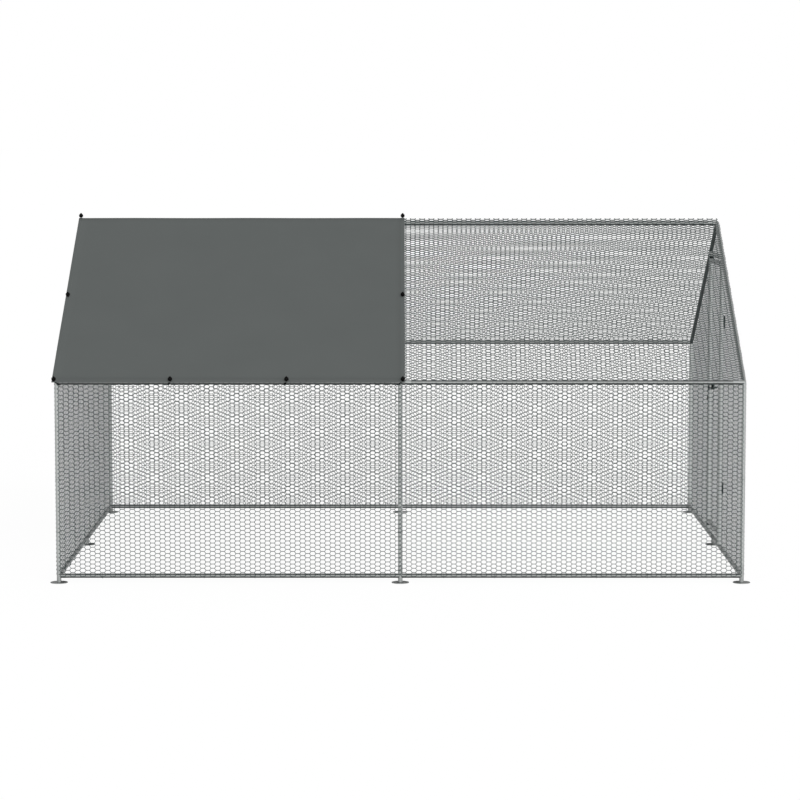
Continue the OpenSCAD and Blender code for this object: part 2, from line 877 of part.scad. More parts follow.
module cover_eyelets() {
  color("gray")
  at_seats()
  difference() {
    translate([0, 0, eyelet_gap])
    cylinder(h = eyelet_t, d = eyelet_d);
    cylinder(h = tube_d, d = eyelet_bore, center = true);
  }
}
ball_z = eyelet_t + cord_gap + ball_d / 2;
module bungee_balls() {
  color("black")
  at_seats()
  translate([0, 0, ball_z])
  difference() {
    union() {
      sphere(d = ball_d);
      cylinder(h = ball_d / 2 + nub_h, d = nub_d);
    }
    translate([0, 0, -ball_d])
    cylinder(h = ball_d / 2 + ball_hole, r = neck_r + cord_gap);
  }
}

// An elastic loop: a ring round the tube at c with axis a, and a neck from the side of the ring
// that faces the bend, through the bend into the ball.
module rod(p, q, r) {
  d = q - p;
  translate(p)
  rotate([0, acos(d.z / norm(d)), atan2(d.y, d.x)])
  cylinder(h = norm(d), r = r);
}
module ring(c, a) {
  translate(c)
  rotate([0, acos(a.z), atan2(a.y, a.x)])
  rotate_extrude()
  translate([loop_r, 0])
  circle(d = cord_d);
}
function neck_foot(c, a, bend) =
  let (d = bend - c)
  c + neck_foot_r * unit(d - (d * a) * a);
module loop(c, a, bend, seat, normal) {
  ring(c, a);
  rod(neck_foot(c, a, bend), bend, neck_r);
  translate(bend)
  sphere(r = neck_r + cord_gap);
  rod(bend, seat + (eyelet_t + cord_gap + ball_hole / 2) * normal, neck_r);
}
below_seat = cover_t + neck_r;

module eave_loop(i) {
  last = eave_eyelets - 1;
  x = i == 0 ? loop_shift - half_length : i == last ? -loop_shift : eave_x(i) - loop_slant;
  seat = cover_point(eyelet_down, cover_t) + [eave_x(i), 0, 0];
  bend = seat - below_seat * cover_normal;
  loop([x, -half_depth, eave_height], [1, 0, 0], bend, seat, cover_normal);
}
module rafter_loop(x, post_x) {
  centre = [post_x, -half_depth, eave_height] + roof_length / 2 * up_slope(-1);
  bend = centre + [x - post_x, 0, 0] - neck_foot_r * roof_inward(-1);
  loop(centre, up_slope(-1), bend, cover_point(roof_length / 2, cover_t) + [x, 0, 0], cover_normal);
}
module ridge_loop(x, ring_x) {
  seat = [x, 0, cover_top_z];
  bend = seat - 2 * below_seat * [0, 0, 1];
  loop([ring_x, 0, ridge_height], [1, 0, 0], bend, seat, [0, 0, 1]);
}
module slope_loops() {
  for (i = [0 : eave_eyelets - 1])
    eave_loop(i);
  rafter_loop(edge_x0, -half_length);
  rafter_loop(edge_x1, 0);
}
module bungee_cords() {
  color("black") {
    slope_loops();
    mirror([0, 1, 0])
    slope_loops();
    ridge_loop(edge_x0, -half_length + loop_shift);
    ridge_loop(edge_x1, -loop_shift);
  }
}

front_left_post();
front_middle_post();
front_right_post();
back_left_post();
back_middle_post();
back_right_post();
front_left_eave_rail();
front_right_eave_rail();
back_left_eave_rail();
back_right_eave_rail();
left_ridge_rail();
right_ridge_rail();
front_left_rafter();
front_middle_rafter();
front_right_rafter();
back_left_rafter();
back_middle_rafter();
back_right_rafter();
front_left_base_rail();
front_right_base_rail();
back_left_base_rail();
back_right_base_rail();
left_gable_front_rail();
left_gable_back_rail();
right_gable_front_rail();
right_gable_back_rail();
front_door_jamb();
back_door_jamb();
door_head();
corner_feet();
middle_feet();
gable_feet();
eave_corner_fittings();
eave_middle_fittings();
ridge_end_fittings();
ridge_middle_fitting();
jamb_saddles();
frame_screws();
door_hinge_stile();
door_latch_stile();
door_rails();
door_end_caps();
hinge_jamb_leaves();
hinge_door_leaves();
hinge_pins();
latch_guide();
latch_bolt();
latch_keeper();
door_stop();
front_wall_net();
back_wall_net();
front_roof_net();
back_roof_net();
left_gable_net();
right_gable_net();
door_net();
cover();
cover_eyelets();
bungee_balls();
bungee_cords();
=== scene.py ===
# %% [markdown]
# # A walk-in chicken run
# This lesson dresses the CAD model of a chicken run for a photograph. The run is a hut-shaped
# frame of galvanised steel tube, closed on all sides and on the roof with hexagonal wire net. A
# door with a sliding bolt hangs in the right gable, and a cloth cover lies over the left half
# of the roof, held down by elastic loops with black balls.
#
# The CAD gives the frame: tubes, fittings, hinges and bolt stay as they are and only get a
# finish. What CAD holds in a coarse form, the nets, the cloth and the elastic cords, is made
# here in full and takes the place of the coarse solid.

import json
import math

import bpy
import numpy as np
from mathutils import Matrix, Vector


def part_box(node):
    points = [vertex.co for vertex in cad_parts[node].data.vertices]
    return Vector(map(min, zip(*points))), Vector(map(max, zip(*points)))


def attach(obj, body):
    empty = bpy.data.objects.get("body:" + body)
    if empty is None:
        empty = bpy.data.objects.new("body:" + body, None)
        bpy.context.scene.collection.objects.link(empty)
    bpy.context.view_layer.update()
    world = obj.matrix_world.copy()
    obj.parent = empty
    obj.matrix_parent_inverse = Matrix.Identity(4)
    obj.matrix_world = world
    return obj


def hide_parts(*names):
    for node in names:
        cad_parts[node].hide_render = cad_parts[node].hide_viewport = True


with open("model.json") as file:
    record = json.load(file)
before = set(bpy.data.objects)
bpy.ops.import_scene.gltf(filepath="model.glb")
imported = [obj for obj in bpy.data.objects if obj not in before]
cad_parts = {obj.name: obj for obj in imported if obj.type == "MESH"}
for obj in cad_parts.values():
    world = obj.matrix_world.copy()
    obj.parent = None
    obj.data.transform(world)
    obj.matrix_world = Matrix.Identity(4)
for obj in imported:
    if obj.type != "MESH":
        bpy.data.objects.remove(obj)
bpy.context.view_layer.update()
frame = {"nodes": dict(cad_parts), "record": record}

# %% [markdown]
# ## Sizes
# The places of posts, rails and ridge are read from the CAD nodes, so the wire and the cloth
# follow the frame. Only sizes that CAD doesn't hold are written here, in metres: those of the
# real net, the cloth and the cord.

# %% Read the sizes
def middle_of(node):
    """The middle of a CAD node's box."""
    low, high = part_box(node)
    return (low + high) / 2


LEFT, FRONT = middle_of("front_left_post").xy
RIGHT, BACK = middle_of("back_right_post").xy
EAVE = middle_of("front_left_eave_rail").z
RIDGE = middle_of("left_ridge_rail").z
BASE = middle_of("front_left_base_rail").z
TUBE_R = (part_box("front_left_post")[1].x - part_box("front_left_post")[0].x) / 2
PITCH = (RIDGE - EAVE) / BACK
ROOF_RUN = math.hypot(RIDGE - EAVE, BACK)
UP_COS, UP_SIN = BACK / ROOF_RUN, (RIDGE - EAVE) / ROOF_RUN
print("run", round(RIGHT - LEFT, 3), "x", round(BACK - FRONT, 3), "m, ridge", round(RIDGE, 3))

# %% [markdown]
# ## Small tools
# Four helpers are used all through: a colour written as in a paint chart, a node adder for
# shaders and Geometry Nodes, a mesh maker and a call that hands a finished piece to its body.

# %% Helpers
def colour(hex_code):
    """An sRGB hex colour as the linear RGBA a shader needs."""
    parts = [int(hex_code[i : i + 2], 16) / 255 for i in (1, 3, 5)]
    return [c / 12.92 if c <= 0.04045 else ((c + 0.055) / 1.055) ** 2.4 for c in parts] + [1.0]


def add(tree, kind, inputs=None, **settings):
    """Adds a node, sets its properties, and fills each input with a value or a link."""
    node = tree.nodes.new(kind)
    for key, value in settings.items():
        setattr(node, key, value)
    for key, value in (inputs or {}).items():
        if isinstance(value, bpy.types.NodeSocket):
            tree.links.new(value, node.inputs[key])
        else:
            node.inputs[key].default_value = value
    return node


def link_object(name, mesh):
    """Puts a mesh in the scene as an object at the origin."""
    obj = bpy.data.objects.new(name, mesh)
    bpy.context.scene.collection.objects.link(obj)
    return obj


def mesh_from(name, points, faces=(), edges=()):
    """A mesh from points and faces or edges."""
    mesh = bpy.data.meshes.new(name)
    mesh.from_pydata(points, edges, faces)
    mesh.update()
    return mesh


def give(piece, body, slot, *nodes):
    """Hangs a piece on its body and hides the CAD nodes it stands for; the slot argument is not
    used.
    """
    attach(piece, body)
    if nodes:
        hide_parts(*nodes)
    print(piece.name, sum(len(p.vertices) - 2 for p in piece.data.polygons), "triangles")


# %% [markdown]
# ## Finishes
# Each finish is one Principled shader with a pattern in object coordinates. A painted image could
# do the same, but a pattern from nodes needs no file and keeps its real size on every piece. The
# scale of a pattern is one over its real size in metres: a zinc crystal on galvanised tube is
# about a centimetre wide, the grain of moulded plastic half a millimetre.
#
# Where a surface faces up or down, a dark colour is mixed in by the z of the surface's own normal:
# painted shade on its upper and under sides.

# %% Finish maker
ROUGH_SPREAD = 0.05
FULL_SHADE = 0.5


def finish(name, roughness, metallic, tint, cell, kind, bump=0.0, shine=0.5, shade_spec=None):
    """A material whose colour runs between two tints over a pattern with cells of a given size.

    The last argument is (colour, above, below): how much of a dark colour is mixed in as painted
    shade on upper and under sides, in full where the normal's z is past one half."""
    material = bpy.data.materials.new(name)
    material.use_nodes = True
    tree = material.node_tree
    shader = tree.nodes["Principled BSDF"]
    given = add(tree, "ShaderNodeTexCoord").outputs
    place = given["Object"]
    if kind == "crystals":
        grain = add(tree, "ShaderNodeTexVoronoi", {"Vector": place, "Scale": 1 / cell})
        value = add(tree, "ShaderNodeSeparateColor", {"Color": grain.outputs["Color"]}).outputs[0]
    else:
        grain = add(
            tree, "ShaderNodeTexNoise", {"Vector": place, "Scale": 1 / cell, "Detail": 4.0}
        )
        value = grain.outputs["Fac"]
    mix = add(tree, "ShaderNodeMix", {0: value}, data_type="RGBA")
    mix.inputs["A"].default_value = colour(tint[0])
    mix.inputs["B"].default_value = colour(tint[1])
    rough = add(
        tree,
        "ShaderNodeMapRange",
        {"Value": value, "To Min": roughness - ROUGH_SPREAD, "To Max": roughness + ROUGH_SPREAD},
    )
    tinted = mix.outputs["Result"]
    # Painted shade: a dark colour mixed over the upper and under sides by the z of the normal.
    if shade_spec:
        shade, *shares = shade_spec
        level = add(tree, "ShaderNodeSeparateXYZ", {0: given["Normal"]}).outputs["Z"]
        above, below = [
            add(
                tree,
                "ShaderNodeMapRange",
                {"Value": level, "From Max": way * FULL_SHADE, "To Max": share},
            ).outputs["Result"]
            for way, share in zip((1, -1), shares)
        ]
        shade_amount = add(tree, "ShaderNodeMath", {0: above, 1: below}, operation="MAXIMUM")
        shade_mix = add(tree, "ShaderNodeMix", {0: shade_amount.outputs[0]}, data_type="RGBA")
        tree.links.new(tinted, shade_mix.inputs["A"])
        shade_mix.inputs["B"].default_value = colour(shade)
        tinted = shade_mix.outputs["Result"]
    tree.links.new(tinted, shader.inputs["Base Color"])
    tree.links.new(rough.outputs["Result"], shader.inputs["Roughness"])
    shader.inputs["Metallic"].default_value = metallic
    shader.inputs["Specular IOR Level"].default_value = shine
    if bump:
        relief = add(tree, "ShaderNodeBump", {"Height": value, "Distance": bump, "Strength": 0.6})
        tree.links.new(relief.outputs["Normal"], shader.inputs["Normal"])
    return material


# %% Metals and plastics
# Hot-dip galvanised tube: grey zinc crystals about a centimetre wide. The upper and under side of a
# tube get painted shade in a dark colour, most of all on level rails and on the feet.
SHADE_TONE = "#202323"
CRYSTAL = 0.009
GALVANISED = finish(
    "galvanised_steel",
    0.5,
    0.35,
    ("#A1A4A3", "#ADB0AF"),
    CRYSTAL,
    "crystals",
    shade_spec=(SHADE_TONE, 0.35, 0.98),
)
# Level rails and feet: a darker copy of the same zinc, with more painted shade on the upper side.
# The darker tint is painted shade too.
GALVANISED_DARKER = finish(
    "galvanised_painted_shade",
    0.5,
    0.35,
    ("#929594", "#9EA1A0"),
    CRYSTAL,
    "crystals",
    shade_spec=(SHADE_TONE, 0.7, 0.98),
)
# Zinc-plated screws: brighter and smoother than the tube.
ZINC = finish("zinc_plated_screw", 0.3, 1.0, ("#9A9C9C", "#A9ABAA"), 0.004, "noise")
# Galvanised net wire, drawn dark grey: the dark tone is painted shade.
NET_WIRE = finish("galvanised_net_wire", 0.5, 0.35, ("#213130", "#2B3D3B"), 0.03, "noise")
# Black powder-coated steel of the hinges and the bolt.
BLACK_STEEL = finish(
    "black_powder_coat", 0.5, 0.0, ("#101112", "#161718"), 0.0015, "noise", 0.00005, 0.25
)
# Black moulded plastic of the caps, the latch blocks and the balls.
BLACK_PLASTIC = finish(
    "black_plastic", 0.5, 0.0, ("#030303", "#080808"), 0.0006, "noise", 0.00002, 0.05
)
# Braided elastic cord with a black textile sleeve.
CORD = finish(
    "black_elastic_cord", 0.85, 0.0, ("#030303", "#090909"), 0.0009, "crystals", 0.0003, 0.05
)
print(len(bpy.data.materials), "finishes so far")

# %% [markdown]
# ## Cover cloth
# The cover is coated polyester: a plain weave with a thin dark-grey coating. Threads are too fine
# to model, so two wave patterns along the cloth's own UV directions, in metres, raise them as a
# bump. A UV map is used because the weave has to follow the cloth over the ridge.

# %% Cloth finish
# Length of one wave of the Wave Texture at scale 1.
WAVE_LENGTH = math.pi / 10


def cloth_finish(thread=0.0024):
    """A dark grey coated weave; the UV map is in metres along the cloth.

    Real threads are half a millimetre; they are drawn coarser so that a close view shows them."""
    material = bpy.data.materials.new("coated_polyester_cloth")
    material.use_nodes = True
    tree = material.node_tree
    shader = tree.nodes["Principled BSDF"]
    place = add(tree, "ShaderNodeUVMap", uv_map="cloth").outputs["UV"]
    waves = [
        add(
            tree,
            "ShaderNodeTexWave",
            {"Vector": place, "Scale": WAVE_LENGTH / thread},
            bands_direction=way,
        ).outputs["Fac"]
        for way in ("X", "Y")
    ]
    weave = add(tree, "ShaderNodeMath", {0: waves[0], 1: waves[1]}, operation="MULTIPLY")
    patch = add(tree, "ShaderNodeTexNoise", {"Vector": place, "Scale": 3.0, "Detail": 3.0})
    tone = add(tree, "ShaderNodeMapRange", {"Value": patch.outputs["Fac"]})
    mix = add(tree, "ShaderNodeMix", {0: tone.outputs["Result"]}, data_type="RGBA")
    mix.inputs["A"].default_value = colour("#5D6160")
    mix.inputs["B"].default_value = colour("#626665")
    relief = add(
        tree, "ShaderNodeBump", {"Height": weave.outputs[0], "Distance": 0.0002, "Strength": 0.3}
    )
    tree.links.new(mix.outputs["Result"], shader.inputs["Base Color"])
    tree.links.new(relief.outputs["Normal"], shader.inputs["Normal"])
    shader.inputs["Roughness"].default_value = 0.85
    shader.inputs["Specular IOR Level"].default_value = 0.15
    return material


CLOTH = cloth_finish()
# Polyester sewing thread of the hems, a shade lighter than the cloth.
THREAD = finish("polyester_thread", 0.7, 0.0, ("#6B6F6E", "#787C7B"), 0.002, "noise")
print("cloth and thread")

# %% [markdown]
# ## Round wire from lines
# Net and cords are round stock that follows a line. A curve object with a bevel could make one
# such wire, but here there are thousands. One Geometry Nodes group makes them all: it turns mesh
# edges into curves, sweeps a small circle along them and closes the ends. It can press the
# result flat, as rollers do with a net.

# %% Wire group
def wire_group():
    """Geometry Nodes that sweep a round profile along the edges of a mesh."""
    tree = bpy.data.node_groups.new("round_wire", "GeometryNodeTree")
    make = tree.interface.new_socket
    make("Lines", in_out="INPUT", socket_type="NodeSocketGeometry")
    make("Diameter", in_out="INPUT", socket_type="NodeSocketFloat")
    make("Sides", in_out="INPUT", socket_type="NodeSocketInt")
    make("Flatten", in_out="INPUT", socket_type="NodeSocketFloat")
    make("Material", in_out="INPUT", socket_type="NodeSocketMaterial")
    make("Wire", in_out="OUTPUT", socket_type="NodeSocketGeometry")
    given = add(tree, "NodeGroupInput").outputs
    line = add(tree, "GeometryNodeMeshToCurve", {"Mesh": given["Lines"]})
    half = add(tree, "ShaderNodeMath", {0: given["Diameter"], 1: 0.5}, operation="MULTIPLY")
    ring = add(
        tree,
        "GeometryNodeCurvePrimitiveCircle",
        {"Resolution": given["Sides"], "Radius": half.outputs[0]},
    )
    swept = add(
        tree,
        "GeometryNodeCurveToMesh",
        {"Curve": line.outputs[0], "Profile Curve": ring.outputs[0], "Fill Caps": True},
    )
    scale = add(tree, "ShaderNodeCombineXYZ", {"X": 1.0, "Y": 1.0, "Z": given["Flatten"]})
    pressed = add(
        tree, "GeometryNodeTransform", {0: swept.outputs[0], "Scale": scale.outputs[0]}
    )
    smooth = add(tree, "GeometryNodeSetShadeSmooth", {0: pressed.outputs[0]})
    real = add(tree, "GeometryNodeRealizeInstances", {0: smooth.outputs[0]})
    done = add(
        tree, "GeometryNodeSetMaterial", {0: real.outputs[0], "Material": given["Material"]}
    )
    add(tree, "NodeGroupOutput", {0: done.outputs[0]})
    return tree


WIRE_GROUP = wire_group()


def run_group(name, mesh, group, inputs):
    """Runs a node group on a mesh and keeps the result as a plain mesh object."""
    source = link_object(name + "_lines", mesh)
    modifier = source.modifiers.new("group", "NODES")
    modifier.node_group = group
    for item in group.interface.items_tree:
        if item.in_out == "INPUT" and item.name in inputs:
            modifier[item.identifier] = inputs[item.name]
    view = bpy.context.evaluated_depsgraph_get()
    made = bpy.data.meshes.new_from_object(source.evaluated_get(view))
    bpy.data.objects.remove(source)
    made.name = name
    return link_object(name, made)


def wire(name, lines, diameter, sides, material, flatten=1.0):
    """Wire along each of the given runs of points, pressed flat in z where it is asked for."""
    points, edges = [], []
    for run in lines:
        first = len(points)
        points.extend(run)
        edges += [(i, i + 1) for i in range(first, len(points) - 1)]
    mesh = mesh_from(name, [tuple(p) for p in points], edges=edges)
    given = {"Diameter": diameter, "Sides": sides, "Flatten": flatten, "Material": material}
    return run_group(name, mesh, WIRE_GROUP, given)


print("wire group with", len(WIRE_GROUP.nodes), "nodes")

# %% [markdown]
# ## Hexagonal net
# A net machine twists each wire with the neighbour above, then with the one below, and so on.
# One wire is therefore a zigzag: a level stretch in a twist, a slant to the next twist. Copies of
# one cell could fill a panel, but they couldn't be cut along a sloping rafter. So every wire of a
# panel is written as that zigzag on a flat sheet, cut to the panel's edges, and then laid on the
# wall, the gable or the roof.

# %% Zigzag wires
# From one column of twists to the next, and the height of a cell on the walls and the roof.
CELL_WIDTH = 0.0278
WALL_CELL, ROOF_CELL = 0.02357, 0.0229
# Length of a twist, width of the drawn wire, and how flat it is on the walls and the roof.
TWIST = 0.0195
NET_D = 0.0047
NET_FLAT, ROOF_FLAT = 0.48, 0.50
# Share of the wire's width by which the two wires of a twist lie out of the net's plane.
OVERLAP = 0.2
# Ends shorter than this fall off when a wire is cut.
SHORTEST = 0.003
# Where the columns of a bay and the rows of a panel start on their sheet.
BAY_START = {"left": -0.0142, "right": -0.0080}
ROW_START = {
    "front_wall": -0.0049,
    "back_wall": -0.0042,
    "front_roof": 0.0092,
    "back_roof": 0.0120,
}


def box_edges(u0, u1, v0, v1):
    """The four edges of a rectangle as (a, b, c), with a u + b v >= c inside."""
    return [(1, 0, u0), (-1, 0, -u1), (0, 1, v0), (0, -1, -v1)]


def cut_run(points, edges):
    """The parts of a run of points that lie inside all the edges."""
    start, end = points[:-1], points[1:]
    t0, t1 = np.zeros(len(start)), np.ones(len(start))
    for a, b, c in edges:
        d0 = start[:, :2] @ (a, b) - c
        d1 = end[:, :2] @ (a, b) - c
        share = d0 / np.where(d0 == d1, 1, d0 - d1)
        t0 = np.where((d0 < 0) & (d1 >= 0), np.maximum(t0, share), t0)
        t1 = np.where((d0 >= 0) & (d1 < 0), np.minimum(t1, share), t1)
        t1 = np.where((d0 < 0) & (d1 < 0), -1, t1)
    runs, current = [], []
    for p, q, s, e in zip(start, end, t0, t1):
        if e <= s:
            current = []
            continue
        if not current or s > 0:
            current = [p + s * (q - p)]
            runs.append(current)
        current.append(p + e * (q - p))
    return [np.array(r) for r in runs if np.linalg.norm(r[0] - r[-1]) > SHORTEST]


def zigzags(edges, size, first_u, first_v, cell_height):
    """All the net wires of a region, cut to its edges, as runs of (u, v, outward) points.

    In a twist the two wires lie over each other, one a little outside and one a little inside."""
    u0, u1, v0, v1 = size
    step = cell_height / 2
    columns = np.arange((u0 - first_u) // CELL_WIDTH - 1, (u1 - first_u) // CELL_WIDTH + 3)
    middles = first_u + columns * CELL_WIDTH
    runs = []
    for row in np.arange((v0 - first_v) // step - 1, (v1 - first_v) // step + 3):
        up = np.where((columns + row) % 2 == 0, 1, -1)
        points = np.empty((2 * len(columns), 3))
        points[0::2, 0], points[1::2, 0] = middles - TWIST / 2, middles + TWIST / 2
        level = first_v + row * step + up * step / 2
        points[0::2, 1] = points[1::2, 1] = level
        points[0::2, 2] = points[1::2, 2] = up * OVERLAP * NET_D
        runs += cut_run(points, edges)
    return runs


def net_panel(name, body, node, sheet, *regions, bay="right", rows="front_wall"):
    """One net piece: sheet is (origin, u, v) in space, regions are (size, more edges)."""
    cell, flatten = (ROOF_CELL, ROOF_FLAT) if rows.endswith("roof") else (WALL_CELL, NET_FLAT)
    lines = []
    for size, more in regions:
        lines += zigzags(box_edges(*size) + more, size, BAY_START[bay], ROW_START[rows], cell)
    piece = wire(name, lines, NET_D, 3, NET_WIRE, flatten)
    origin, u, v = (Vector(part) for part in sheet)
    place = Matrix((u, v, u.cross(v))).transposed().to_4x4()
    place.translation = origin
    piece.data.transform(place)
    # The wire is drawn almost five times as wide as a real one so that it shows at all. Its
    # shadow would be as much too dark, so it casts none.
    piece.visible_shadow = piece.visible_diffuse = False
    give(piece, body, "net_wire", node)


print("cell", CELL_WIDTH * 2, "x", WALL_CELL, "m")

# %% [markdown]
# ## Walls and gables
# The net is stretched over the outside of the tubes, so it lies one tube radius and half a wire
# outside the tube's middle line. Each bay of a wall has a net of its own, cut from the roll between
# two posts. The gable panels are cut along the rafters. In the right gable the net stops at the
# door jambs and stays clear of hinges and keeper: the panel is made of bands, one above the
# other, and the bands beside a hinge or the keeper are narrower.

# %% Wall and gable nets
OUT = TUBE_R + NET_FLAT * 0.75 * NET_D
UNDER_RAFTERS = [(-PITCH, -1, -RIDGE), (PITCH, -1, -RIDGE)]
NET_LOW = BASE - 0.004
BAYS = {"left": (LEFT, 0.0), "right": (0.0, RIGHT)}
for side, y, out in (("front", FRONT, -1), ("back", BACK, 1)):
    sheet = ((0, y + out * OUT, 0), (1, 0, 0), (0, 0, 1))
    for bay, (x0, x1) in BAYS.items():
        piece = f"{side}_{bay}_wall_wire"
        region = ((x0, x1, NET_LOW, EAVE), [])
        rows = side + "_wall"
        net_panel(piece, "frame", rows + "_net", sheet, region, bay=bay, rows=rows)

ON_LEFT = ((LEFT - OUT, 0, 0), (0, 1, 0), (0, 0, 1))
ON_RIGHT = ((RIGHT + OUT, 0, 0), (0, 1, 0), (0, 0, 1))
gable = (FRONT, BACK, NET_LOW, RIDGE)
net_panel("left_gable_wire", "frame", "left_gable_net", ON_LEFT, (gable, UNDER_RAFTERS))

# %% Gable net beside the door
JAMB = middle_of("back_door_jamb").y
JAMB_SIDE = JAMB - TUBE_R - 0.001
HEAD = middle_of("door_head").z
LATCH = middle_of("latch_keeper").z
leaf_low, leaf_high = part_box("hinge_jamb_leaves")
LEAF_HALF, HINGE_ROOM, LATCH_ROOM = 0.035, 0.041, 0.02
CLEAR = 0.002
HINGES = (leaf_low.z + LEAF_HALF, leaf_high.z - LEAF_HALF)
hinge_bands = [NET_LOW, HINGES[0] - HINGE_ROOM, HINGES[0] + HINGE_ROOM]
hinge_bands += [HINGES[1] - HINGE_ROOM, HINGES[1] + HINGE_ROOM, RIDGE]
latch_bands = [NET_LOW, LATCH - LATCH_ROOM, LATCH + LATCH_ROOM, RIDGE]
regions = [((-JAMB, JAMB, HEAD, RIDGE), UNDER_RAFTERS)]
for i in range(5):
    edge = leaf_low.y - CLEAR if i % 2 else -JAMB_SIDE
    regions.append(((FRONT, edge, hinge_bands[i], hinge_bands[i + 1]), UNDER_RAFTERS))
for i in range(3):
    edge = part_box("latch_keeper")[1].y + CLEAR if i % 2 else JAMB_SIDE
    regions.append(((edge, BACK, latch_bands[i], latch_bands[i + 1]), UNDER_RAFTERS))
net_panel("right_gable_wire", "frame", "right_gable_net", ON_RIGHT, *regions)

# %% [markdown]
# ## Door net
# The door's net is tied to its stiles and rails and swings with the door, so it is a piece on the
# door's own body. It is made of bands too, and leaves room for the hinge leaves, for the heads
# of the pins and for the grip of the bolt.

# %% Door net
STILE_SIDE = middle_of("door_latch_stile").y + TUBE_R + 0.001
door_low, door_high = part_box("door_net")
hinge_bands[0], hinge_bands[-1] = door_low.z - 0.004, door_high.z + 0.004
grip_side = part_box("latch_bolt")[0].y - 0.012
leaf_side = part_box("hinge_door_leaves")[1].y + CLEAR
door_bands = sorted(hinge_bands + latch_bands[1:3])
regions = []
for low, high in zip(door_bands[:-1], door_bands[1:]):
    at = (low + high) / 2
    near_hinge = min(abs(at - h) for h in HINGES) < HINGE_ROOM
    near_latch = abs(at - LATCH) < LATCH_ROOM
    y0 = leaf_side if near_hinge else -STILE_SIDE
    y1 = grip_side if near_latch else STILE_SIDE
    regions.append(((y0, y1, low, high), []))
net_panel("door_wire", "door", "door_net", ON_RIGHT, *regions)

# %% [markdown]
# ## Roof net
# The roof net runs from the eave over the ridge. It rests on the eave tube and lies a little
# higher at the ridge, where the strips of the two slopes meet in one crest. Each bay of a slope
# has a net of its own, as on the walls, which also keeps the pieces light.

# %% Roof nets
CREST_RISE = 0.0100
eave_out, ridge_out = OUT, OUT + CREST_RISE
START = np.array([FRONT - eave_out * UP_SIN, EAVE + eave_out * UP_COS])
ON_RIDGE = np.array([-ridge_out * UP_SIN, RIDGE + ridge_out * UP_COS])
SLOPE = (ON_RIDGE - START) / np.linalg.norm(ON_RIDGE - START)
CREST = -START[0] / SLOPE[0]

for side, way in (("front", 1), ("back", -1)):
    sheet = ((0, way * START[0], START[1]), (1, 0, 0), (0, way * SLOPE[0], SLOPE[1]))
    for bay, (x0, x1) in BAYS.items():
        piece = f"{side}_{bay}_roof_wire"
        region = ((x0, x1, 0.0, CREST), [])
        rows = side + "_roof"
        net_panel(piece, "frame", rows + "_net", sheet, region, bay=bay, rows=rows)
print("net crest at", round(START[1] + CREST * SLOPE[1], 4))

# %% [markdown]
# ## Copies on points
# Wire ties and stitches repeat the same small shape many times. Python could copy the shape in a
# loop, but a second Geometry Nodes group does it in one go: it puts a copy on every point, turned
# by two directions stored on the points.

# %% Copy group
def copy_group():
    """Geometry Nodes that set a copy of an object on each point, turned by two attributes."""
    tree = bpy.data.node_groups.new("copies_on_points", "GeometryNodeTree")
    make = tree.interface.new_socket
    make("Points", in_out="INPUT", socket_type="NodeSocketGeometry")
    make("Shape", in_out="INPUT", socket_type="NodeSocketObject")
    make("Material", in_out="INPUT", socket_type="NodeSocketMaterial")
    make("Copies", in_out="OUTPUT", socket_type="NodeSocketGeometry")
    given = add(tree, "NodeGroupInput").outputs
    shape = add(tree, "GeometryNodeObjectInfo", {"Object": given["Shape"]})
    along, out = [
        add(tree, "GeometryNodeInputNamedAttribute", {"Name": key}, data_type="FLOAT_VECTOR")
        for key in ("along", "out")
    ]
    first = add(
        tree, "FunctionNodeAlignRotationToVector", {"Vector": along.outputs[0]}, axis="X"
    )
    second = add(
        tree,
        "FunctionNodeAlignRotationToVector",
        {"Rotation": first.outputs[0], "Vector": out.outputs[0]},
        axis="Z",
        pivot_axis="X",
    )
    copies = add(
        tree,
        "GeometryNodeInstanceOnPoints",
        {
            "Points": given["Points"],
            "Instance": shape.outputs["Geometry"],
            "Rotation": second.outputs[0],
        },
    )
    real = add(tree, "GeometryNodeRealizeInstances", {0: copies.outputs[0]})
    done = add(
        tree, "GeometryNodeSetMaterial", {0: real.outputs[0], "Material": given["Material"]}
    )
    add(tree, "NodeGroupOutput", {0: done.outputs[0]})
    return tree


COPY_GROUP = copy_group()


def copies(name, shape, places, material):
    """Copies of a shape; places are (point, direction along, direction out)."""
    mesh = mesh_from(name, [tuple(p[0]) for p in places])
    for key, i in (("along", 1), ("out", 2)):
        layer = mesh.attributes.new(key, "FLOAT_VECTOR", "POINT")
        layer.data.foreach_set("vector", np.array([p[i] for p in places], float).ravel())
    made = run_group(name, mesh, COPY_GROUP, {"Shape": shape, "Material": material})
    bpy.data.objects.remove(shape)
    return made


def rounded_ring(name, major, minor, around=24, across=6):
    """A ring round the x axis."""
    points, faces = [], []
    for i in range(around):
        a = 2 * math.pi * i / around
        for j in range(across):
            b = 2 * math.pi * j / across
            r = major + minor * math.cos(b)
            points.append((minor * math.sin(b), r * math.cos(a), r * math.sin(a)))
            i2, j2 = (i + 1) % around, (j + 1) % across
            faces.append((i * across + j, i * across + j2, i2 * across + j2, i2 * across + j))
    mesh = mesh_from(name, points, faces)
    mesh.shade_smooth()
    return link_object(name, mesh)


print("copy group with", len(COPY_GROUP.nodes), "nodes")

# %% [markdown]
# ## Wire ties
# Short wires, bent round tube and net by hand, hold the net every 25 to 30 cm. They are drawn
# as rings that stand a little to the net's side of the tube.

# %% Ties
TIE_D, TIE_OFF = 0.0014, 0.0013
END_ROOM = 0.1


def tie_row(start, end, count, out):
    """Places of ties between two points of a tube's middle line; out points to the net."""
    start, end, out = Vector(start), Vector(end), Vector(out)
    along = (end - start).normalized()
    return [
        (start.lerp(end, (i + 0.5) / count) + out * TIE_OFF, along, out) for i in range(count)
    ]


